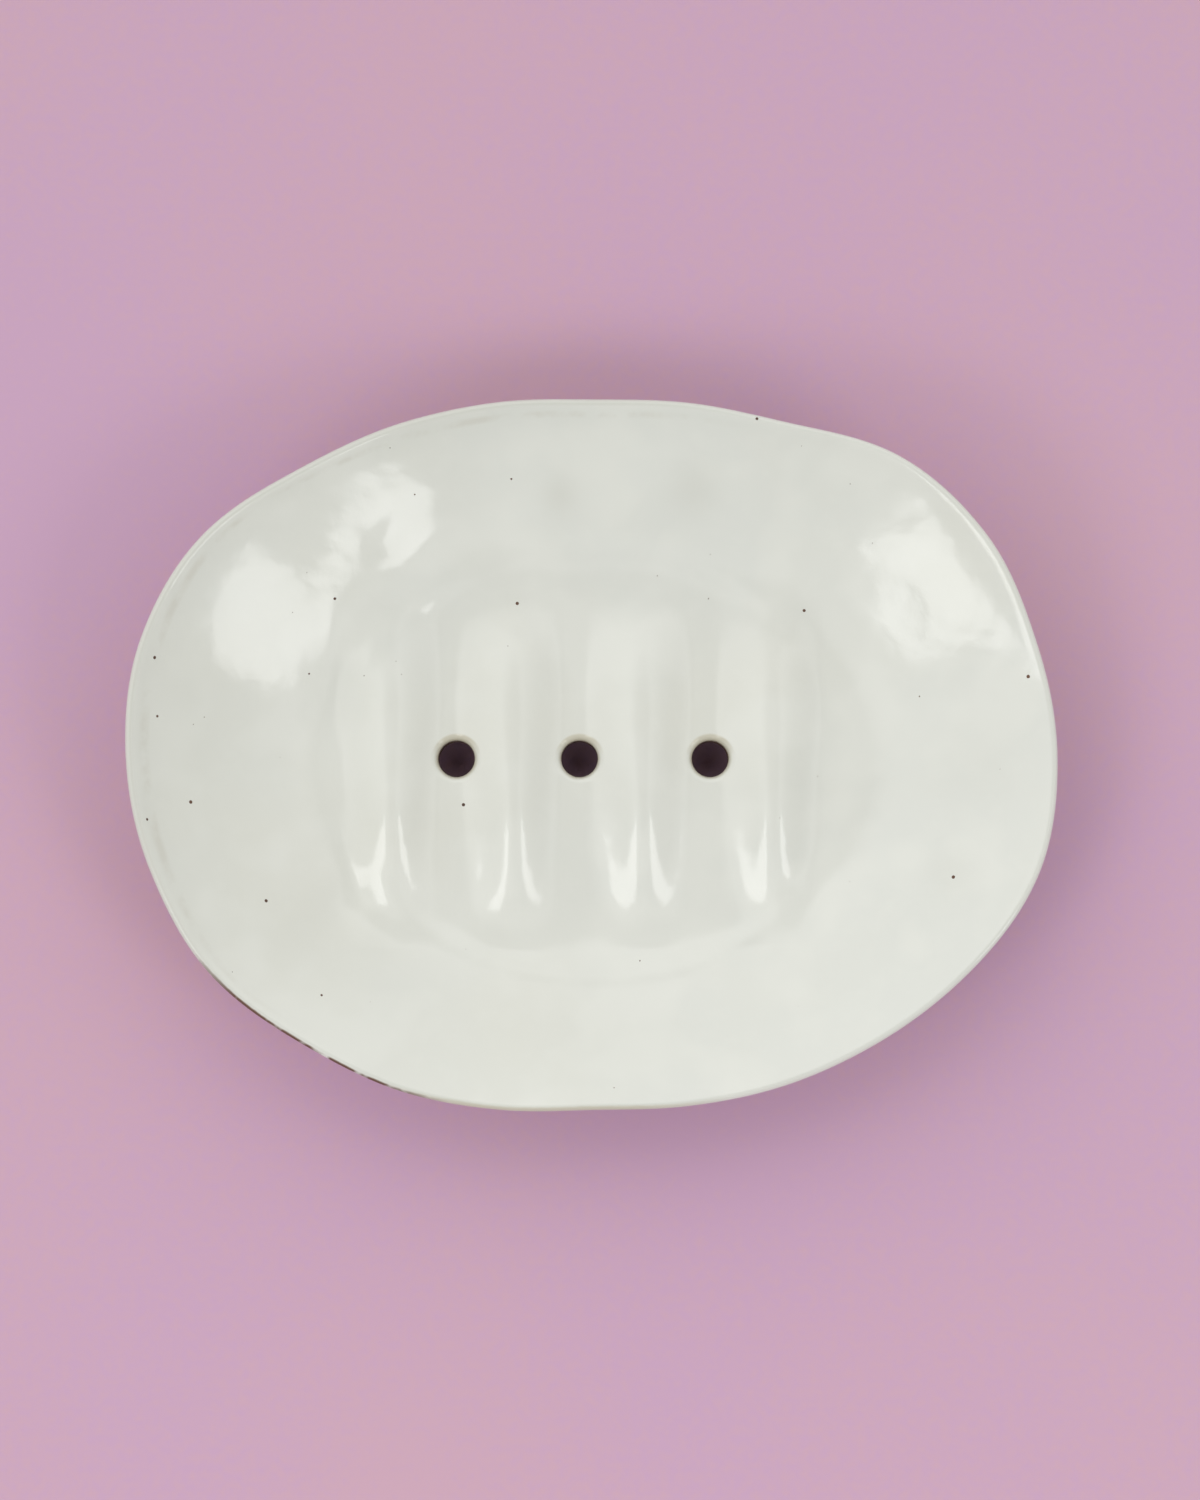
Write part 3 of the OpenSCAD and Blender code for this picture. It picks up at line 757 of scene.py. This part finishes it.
glazeLook = {
    "cream": (0.742, 0.747, 0.677),
    "cool": (0.733, 0.745, 0.689),
    # the whiter glaze of the pools, also used as painted light in the painted spots
    "milky": (0.775, 0.783, 0.72),
    "thin": (0.50, 0.45, 0.32),  # where the clay begins to show through
    "bare": (0.15, 0.08, 0.05),
    # noise scales, and the parts of each noise between which a mask goes from 0 to 1
    "cloudScale": 24,
    "cloudSpan": (0.35, 0.65),
    "grainScale": 210,
    "grainSpan": (0.5, 0.8),
    "grainShare": 0.4,
    "poolScale": 75,  # of the patches where the glaze is thicker and whiter
    "poolSpan": (0.47, 0.63),
    "poolShare": 0.7,
    "patchScale": 160,  # of what breaks up the bands on the lip
    # the thin glaze in the mouths of the holes and at the lower edge: where it is, and how ragged
    "mouthSpan": (0.35, 1),
    "mouthRagged": 0.5,
    "lowSpan": (0.86, 1),
    "lowRagged": 0.25,
    "lowShare": 0.8,
    "boreSpan": (0.3, 1),  # where the bore turns bare
    # painted light on the lit back wall of a mouth, in the thin glaze's beige: round its edge, and
    # millimetres behind the row's middle line
    "backTurn": (0.02, 0.2),
    "backPlace": (0.5, 3),
    "backShare": 0.7,
    "backOver": 0.6,  # how far it hides the thin glaze
    # bands across the lip: middle, full half width and reach, and what the patches add to these two
    "chipBand": (0.33, 0.03, 0.07, 0.12, 0.18),
    "rubbedBand": (0.27, 0.04, 0.12, 0.1, 0.14),
    "wornBand": (0.95, 0.008, 0.03, 0, 0),
    "lipBand": (0.24, 0.12, 0.24, 0, 0),
    "chipPatches": (0.36, 0.5),
    "wornPatches": (0.4, 0.62),
    "rubbedShare": 0.6,
    "wornShare": 0.45,
    "lipShares": (0.3, 0.5),  # all round for the thinner glaze, and more as painted shade where the lip faces the upper left
    "gloss": 0.12,
    "glossSpread": 0.06,
    "chipRoughness": 0.5,
    "ripple": 0.45,  # how uneven the melted glaze lies
    "ripples": [(70, 0.2), (190, 0.2), (900, 0.02)],  # scale and share of each
    # towards where the lip is bare, where it is beige, and the upper left, where its inner edge shows a
    # grey line and the lip gets painted shade: direction and spread
    "chip": ((-0.69, -0.72), (0.93, 0.975)),
    "beige": ((-0.1, -0.99), (0.88, 0.97)),
    "edge": ((-0.8, 0.6), (0.2, 0.55)),
    "worn": (0.62, 0.60, 0.52),
    "mouthBeige": (0.56, 0.52, 0.39),  # painted light on the back wall of each drain hole's mouth
    "lipTone": (0.64, 0.645, 0.58),  # of the thinner glaze on the lip, also used as painted shade
    # painted shade (share more than 0, greyer) and painted light (whiter) that stand in for the shading of
    # the bowl's slopes and hollows: x, y, reach, share
    "tones": [
        (-5.5, 42.7, 3, 0.5), (16.5, 43.5, 4, 0.4), (-14.5, 38.6, 5, -0.6), (2.6, 42.7, 5, -0.6),
        (63, -2, 8, 0.25), (58, -19, 4, 0.25), (-68, 5, 16, 0.17), (-41, 0, 7, -0.8), (-5, -39, 11, 0.12),
        # painted light in the hollow in front of the ribs, against its shade
        (-33, -21, 6, -0.8), (-23, -26, 6, -0.8), (-11, -28, 6, -0.8), (3, -28, 6, -0.8),
        (16, -27, 6, -0.8), (29, -22, 6, -0.8)],
}


def paintGlaze(start, shader):
    look = glazeLook
    place = objectPlace(start)

    def share(label):
        return start.add("ShaderNodeAttribute", {"attribute_name": label}, output="Fac")

    cloud = noise(place, look["cloudScale"], detail=3)
    grain = noise(place, look["grainScale"], detail=3, roughness=0.6)
    pools = noise(place, look["poolScale"])
    patchy = noise(place, look["patchScale"], detail=3, roughness=0.7)
    x, y, _ = place.split()
    flat = place.combine(x, y)
    away = flat.vector("NORMALIZE", flat)

    def facing(part):
        direction, spread = look[part]
        return between(away.vector("DOT_PRODUCT", away, (*direction, 0)), *spread)

    def band(label, part):
        middle, full, reach, fullMore, reachMore = look[part]
        off = start.math("ABSOLUTE", share(label) - middle)
        return 1 - between(off, full + patchy * fullMore, reach + patchy * reachMore)

    colour = tint(between(cloud, *look["cloudSpan"]), look["cream"], look["cool"])
    milk = between(grain, *look["grainSpan"]) * look["grainShare"]
    milk = milk.atLeast(between(pools, *look["poolSpan"]) * look["poolShare"])
    colour = tint(milk, colour, look["milky"])
    # On the lip: a darker grey line just inside it at the upper left, thinner glaze all round with painted
    # shade at the upper left, rubbed at the front and chipped at the front left
    worn = band("wallShare", "wornBand") * facing("edge") * between(patchy, *look["wornPatches"])
    colour = tint(worn * look["wornShare"], colour, look["worn"])
    # The lip's top is greyer all round for its thinner glaze, with painted shade where it faces the upper
    # left
    lipAll, lipShadeMore = look["lipShares"]
    lipThinAndShade = band("rimShare", "lipBand") * (lipAll + facing("edge") * lipShadeMore)
    colour = tint(lipThinAndShade, colour, look["lipTone"])
    rubbed = band("rimShare", "rubbedBand") * facing("beige") * look["rubbedShare"]
    chipped = band("rimShare", "chipBand") * facing("chip") * between(patchy, *look["chipPatches"])
    # Spots of painted shade and painted light
    for shadeX, shadeY, shadeReach, shadeShare in look["tones"]:
        off = flat.vector("DISTANCE", flat, (shadeX * mm, shadeY * mm, 0)) / (shadeReach * mm)
        paintedShade = start.math("EXPONENT", -(off * off)) * abs(shadeShare)
        colour = tint(paintedShade, colour, look["lipTone"] if shadeShare > 0 else look["milky"])
    # The coat is thin over the mouths of the drain holes and at its lower edge
    mouth = between(share("mouthTurn") + (grain - 0.5) * look["mouthRagged"], *look["mouthSpan"])
    edge = between(share("underShare") + (cloud - 0.5) * look["lowRagged"], *look["lowSpan"])
    # Painted light: the back wall of each mouth is painted a lighter beige, where the front lights fall on
    # it
    mouthBackLight = between(share("mouthTurn"), *look["backTurn"]) * between(y / mm, *look["backPlace"])
    colour = tint(mouthBackLight * look["backShare"], colour, look["mouthBeige"])
    mouthFront = mouth * (1 - mouthBackLight * look["backOver"])
    colour = tint(mouthFront.atLeast(edge * look["lowShare"]).atLeast(rubbed), colour, look["thin"])
    colour = tint(chipped.atLeast(between(share("runShare"), *look["boreSpan"])), colour, look["bare"])
    ripple = sum(noise(place, scale, detail=1) * part for scale, part in look["ripples"])
    rough = look["gloss"] + (cloud - 0.5) * look["glossSpread"] + chipped * look["chipRoughness"]
    connect(shader, Base_Color=colour, Roughness=rough, Normal=bumped(ripple, look["ripple"]))


clayLook = {
    "dark": (0.085, 0.042, 0.027),
    "light": (0.16, 0.085, 0.053),
    "grog": (0.30, 0.21, 0.15),
    "patchScale": 45,
    "patchSpan": (0.35, 0.65),
    "grogScale": 420,
    "grogSpan": (0.64, 0.72),
    "pitting": 0.12,
    "pitFineness": 2,  # of the pits, against the grog
    "grogHeight": 0.5,
    "roughness": 0.7,
    "roughnessSpread": 0.2,
}
footLook = {
    **clayLook,
    "dark": (0.12, 0.062, 0.04),
    "light": (0.21, 0.118, 0.076),
    "patchScale": 90,
}


# Bare fired clay: brown patches, pale grains of grog and small pits
def clayPaint(look):
    def paint(start, shader):
        place = objectPlace(start)
        patch = noise(place, look["patchScale"], detail=4, roughness=0.6)
        grains = noise(place, look["grogScale"], roughness=0.4)
        colour = tint(between(patch, *look["patchSpan"]), look["dark"], look["light"])
        colour = tint(between(grains, *look["grogSpan"]), colour, look["grog"])
        height = grains * look["grogHeight"] + noise(place, look["grogScale"] * look["pitFineness"])
        rough = look["roughness"] + patch * look["roughnessSpread"]
        connect(shader, Base_Color=colour, Roughness=rough, Normal=bumped(height, look["pitting"]))
    return paint


paperLook = {
    "pink": (0.625, 0.392, 0.492),
    "violet": (0.6, 0.378, 0.535),
    "tintScale": 9,
    "tintSpan": (0.36, 0.64),
    "tintRagged": 0.6,
    "fibreScale": 650,
    "fibreHeight": 0.02,
    "roughness": 0.9,
    "halfSide": 3,  # of the sheet, in metres
}


# The pale lilac paper that the dish stands on
def paintPaper(start, shader):
    look = paperLook
    place = objectPlace(start)
    cloud = noise(place, look["tintScale"], detail=3)
    fibres = noise(place, look["fibreScale"])
    ragged = cloud + (fibres - 0.5) * look["tintRagged"]
    colour = tint(between(ragged, *look["tintSpan"]), look["pink"], look["violet"])
    shader.inputs["Roughness"].default_value = look["roughness"]
    connect(shader, Base_Color=colour, Normal=bumped(fibres, look["fibreHeight"]))


glazeMaterial = newMaterial("milkGlaze", paintGlaze)
clayMaterial = newMaterial("ironClay", clayPaint(clayLook))
footMaterial = newMaterial("footClay", clayPaint(footLook))
paperMaterial = newMaterial("paper", paintPaper)


def handOver(piece, slot, *nodes):
    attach(piece, "root")
    if nodes:
        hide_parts(*nodes)


coatBlank = Blank()
laySheet(coatBlank, skin=1)
outerCount = len(coatBlank.faces)
laySheet(coatBlank, skin=0)
coatBlank.faces[outerCount:] = [f[:, ::-1] for f in coatBlank.faces[outerCount:]]
coat = coatBlank.build("glazeCoat")
runTree(coat, *pressTree("press coat", glazeMaterial))
print("coat:", len(coat.data.polygons), "faces")

clayBlank = Blank()
layBase(clayBlank, *laySheet(clayBlank, skin=0, toBase=True))
clay = clayBlank.build("clayBody")
runTree(clay, *pressTree("press clay", clayMaterial))
print("clay:", len(clay.data.polygons), "faces")

handOver(coat, "glaze", "glaze_coat")
handOver(clay, "clay", "clay_body")

foot = {
    "nodes": ["foot_front_left", "foot_front_right", "foot_back_left", "foot_back_right"],
    "diameter": 11,
    "rootDiameter": 14,
    "round": 1.5,
    "sides": 56,
    "rows": 18,
    "roundRows": 6,
    "caps": 5,
    "wobbleShare": 0.035,  # how uneven a pad of clay rolled in the fingers is
    "wobbleScale": 1.1,
    "wobbleFrom": 0.2,  # the noise below this leaves the foot round
    "wobbleStretch": 0.6,
    "turnStep": 3.0,  # from one foot to the next, through the noise
}


# The tree that turns a cylinder into a foot: rounded where it stands, flared where it is luted on
def footTree(name, material):
    sizes = {
        "Foot X": 0.0, "Foot Y": 0.0, "Foot Height": 1.0, "Radius": foot["diameter"] / 2,
        "Root Radius": foot["rootDiameter"] / 2, "Round": foot["round"],
        "Wobble": foot["wobbleShare"], "Turn": 0.0,
    }
    tree, start = geometryTree(name, sizes)
    size = start.out
    drum = start.add("GeometryNodeMeshCylinder", {"fill_type": "NGON"}, {
        "Vertices": foot["sides"], "Side Segments": foot["rows"], "Fill Segments": foot["caps"],
        "Radius": 1.0, "Depth": 1.0})
    place = start.add("GeometryNodeInputPosition")
    x, y, z = place.split()
    up = z + 0.5
    reach = (x * x + y * y).root()
    roundPart = foot["roundRows"] / foot["rows"]
    bend = (up / roundPart).atMost(1) * (math.pi / 2)
    flare = ((up - roundPart) / (1 - roundPart)).atLeast(0) * (math.pi / 2)
    side = size("Radius") - size("Round") * (1 - bend.sine())
    side = side + (size("Root Radius") - size("Radius")) * (1 - flare.cosine())
    z = size("Round") * (1 - bend.cosine()) + (size("Foot Height") - size("Round")) * flare.sine()
    spot = place.combine(x, y, up * foot["wobbleStretch"] + size("Turn"))
    wobble = (noise(spot, foot["wobbleScale"], detail=1) - foot["wobbleFrom"]).atLeast(0)
    uneven = 1 - size("Wobble") * 2 * wobble
    target = place.combine(size("Foot X") + x * side * uneven, size("Foot Y") + y * side * uneven, z)
    moved = start.add("GeometryNodeSetPosition", inputs={
        "Geometry": drum, "Position": place.vector("SCALE", target, Scale=mm)})
    endTree(tree, moved, material)
    return tree, sizes


turnFoot, footSizes = footTree("turn foot", footMaterial)
for number, node in enumerate(foot["nodes"]):
    low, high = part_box(node)
    piece = addObject(camel(node), bpy.data.meshes.new(node))
    footX, footY, _ = boxMiddle(low, high)
    runTree(piece, turnFoot, {
        **footSizes, "Foot X": footX, "Foot Y": footY,
        "Foot Height": (high.z - low.z) / mm, "Turn": number * foot["turnStep"]})
    handOver(piece, "foot_clay", node)
print("feet:", len(foot["nodes"]))

specks = {
    # iron specks that the photograph shows in the glaze: x, y, radius
    "spots": [
        (-12.5, 25.4, 0.28), (34.5, 24.1, 0.26), (70.2, 12.5, 0.3), (58.3, -19.7, 0.3),
        (-21.3, -7.6, 0.28), (-65, -7.7, 0.3), (-53.1, -23.5, 0.28), (-43.9, -38.8, 0.2),
        (-70.4, 15.2, 0.28), (-70.1, 5.9, 0.22), (-42.2, 25.8, 0.24), (-46.5, 13.7, 0.16),
        (-13.4, 45.3, 0.17), (-29.1, 42.6, 0.13), (-71.4, -10.8, 0.22), (7.6, -33.1, 0.12),
        (53.2, 9.9, 0.12), (26.4, 54, 0.24)],
    "flatness": 0.3,  # height of a speck as a share of its radius
    "density": 1500,  # faint ones besides, for each square metre
    "smallest": 0.04,
    "largest": 0.1,
    "height": 60,  # from where the spots are dropped onto the glaze
    "drop": 1.0,  # how far they are dropped at most, in metres
    "onSkin": 0.99,  # the share called skin is 1 on the coat's outside and 0 on its inside
    "seed": 5,
}


# The tree that drops the spots onto the glaze and scatters fainter ones over it
def speckTree(name, material):
    sizes = {
        "Flatness": specks["flatness"], "Density": float(specks["density"]), "Smallest": specks["smallest"],
        "Largest": specks["largest"], "Speck Seed": specks["seed"],
    }
    tree, start = geometryTree(name, sizes, ["Coat"])
    size = start.out
    surface = start.add("GeometryNodeObjectInfo", inputs={"Object": size("Coat")}, output="Geometry")
    hit = start.add("GeometryNodeRaycast", inputs={
        "Target Geometry": surface, "Ray Direction": (0, 0, -1), "Ray Length": specks["drop"]},
        output="Hit Position")
    dropped = start.add("GeometryNodeSetPosition", inputs={"Geometry": start, "Position": hit})
    ball = start.add("GeometryNodeMeshIcoSphere", inputs={"Radius": mm, "Subdivisions": 2})

    def dress(points, facing, radius):
        flat = start.combine(radius, radius, radius * size("Flatness"))
        upright = start.add("FunctionNodeAlignRotationToVector", {"axis": "Z"}, {"Vector": facing})
        return start.add("GeometryNodeInstanceOnPoints", inputs={
            "Points": points, "Instance": ball, "Rotation": upright, "Scale": flat})

    spots = dress(dropped, hit.out("Hit Normal"), stored(start, "radius"))
    outside = stored(start, "skin") > specks["onSkin"]
    scattered = start.add("GeometryNodeDistributePointsOnFaces", inputs={
        "Mesh": surface, "Selection": outside, "Density": size("Density"), "Seed": size("Speck Seed")},
        output="Points")
    random = start.add("FunctionNodeRandomValue", {"data_type": "FLOAT"}, {
        "Min_001": size("Smallest"), "Max_001": size("Largest"), "Seed": size("Speck Seed")},
        "Value_001")
    faint = dress(scattered, scattered.out("Normal"), random)
    joined = start.add("GeometryNodeJoinGeometry", inputs={"Geometry": spots})
    tree.links.new(faint.socket, joined.socket.node.inputs[0])
    endTree(tree, joined, material)
    return tree, sizes


spotMesh = bpy.data.meshes.new("glazeSpecks")
spotMesh.from_pydata([(x * mm, y * mm, specks["height"] * mm) for x, y, _ in specks["spots"]], [], [])
spotRadius = spotMesh.attributes.new("radius", "FLOAT", "POINT")
spotRadius.data.foreach_set("value", [r for _, _, r in specks["spots"]])
glazeSpecks = addObject("glazeSpecks", spotMesh)
scatter, speckSizes = speckTree("scatter specks", clayMaterial)
runTree(glazeSpecks, scatter, {**speckSizes, "Coat": coat})
handOver(glazeSpecks, "clay")
print("specks:", len(glazeSpecks.data.polygons), "faces")

# Floor, light and camera
floorMesh = bpy.data.meshes.new("floor")
far = paperLook["halfSide"]
floorMesh.from_pydata(
    [(-far, -far, 0), (far, -far, 0), (far, far, 0), (-far, far, 0)], [], [(0, 1, 2, 3)])
floor = addObject("floor", floorMesh)
floor.data.materials.append(paperMaterial)

softBoxes = {
    "distance": 1.0,  # in metres
    "angularSize": 19,
    # name, azimuth, elevation, radiance, roll
    "boxes": [("keyBox", 220.5, 46, 3.5, -14), ("fillBox", -36.6, 45, 3.6, 8)],
}
target = Vector((0.00107, 0.00132, 0.010))  # what the camera and the lights point at, in metres
for name, azimuth, elevation, radiance, roll in softBoxes["boxes"]:
    side = 2 * softBoxes["distance"] * math.tan(math.radians(softBoxes["angularSize"]) / 2)
    softBox = bpy.data.lights.new(name, "AREA")
    softBox.shape = "SQUARE"
    softBox.size = side
    softBox.energy = radiance * math.pi * side * side
    lamp = addObject(name, softBox)
    towards = heading(azimuth, elevation)
    lamp.location = target + towards * softBoxes["distance"]
    lamp.rotation_mode = "QUATERNION"
    lamp.rotation_quaternion = towards.to_track_quat("Z", "Y") @ Quaternion((0, 0, 1), math.radians(roll))

world = bpy.data.worlds.new("studio")
bpy.context.scene.world = world
world.use_nodes = True
sky = {
    "even": 0.64,
    "lobe": 0.78,  # what is added at its brightest spot, which fades with the power of a cosine
    "azimuth": 117,
    "elevation": 50,
    "power": 2,
    "darkEdge": (0.895, 0.97),  # cosines at the edge of the dark patch, where the photographer stands
}
skyTree = world.node_tree
direction = Wire(skyTree).add("ShaderNodeTexCoord", output="Generated")
unit = direction.vector("NORMALIZE", direction)
brightest = tuple(heading(sky["azimuth"], sky["elevation"]))
glow = direction.vector("DOT_PRODUCT", unit, brightest).atLeast(0)
above = direction.vector("DOT_PRODUCT", unit, (0, 0, 1)).atLeast(0)
skyLight = sky["even"] + sky["lobe"] * glow ** sky["power"]
skyLight = skyLight * (1 - between(above, *sky["darkEdge"]))
skyTree.links.new(skyLight.socket, skyTree.nodes["Background"].inputs["Color"])

view = {
    "distance": 0.6574,  # in metres
    "azimuth": -90,
    "elevation": 86,
    "focalPixels": 4015,
    "imageHeight": 1500,
    "sensor": 36,
    "nearest": 0.01,  # what the camera sees begins here, in metres
}
lens = bpy.data.cameras.new("camera")
lens.sensor_width = view["sensor"]
lens.lens = view["sensor"] * view["focalPixels"] / view["imageHeight"]
lens.clip_start = view["nearest"]
camera = addObject("camera", lens)
back = heading(view["azimuth"], view["elevation"])
camera.location = target + back * view["distance"]
camera.rotation_mode = "QUATERNION"
camera.rotation_quaternion = back.to_track_quat("Z", "Y")
bpy.context.scene.camera = camera
bpy.context.scene.view_settings.view_transform = "Standard"
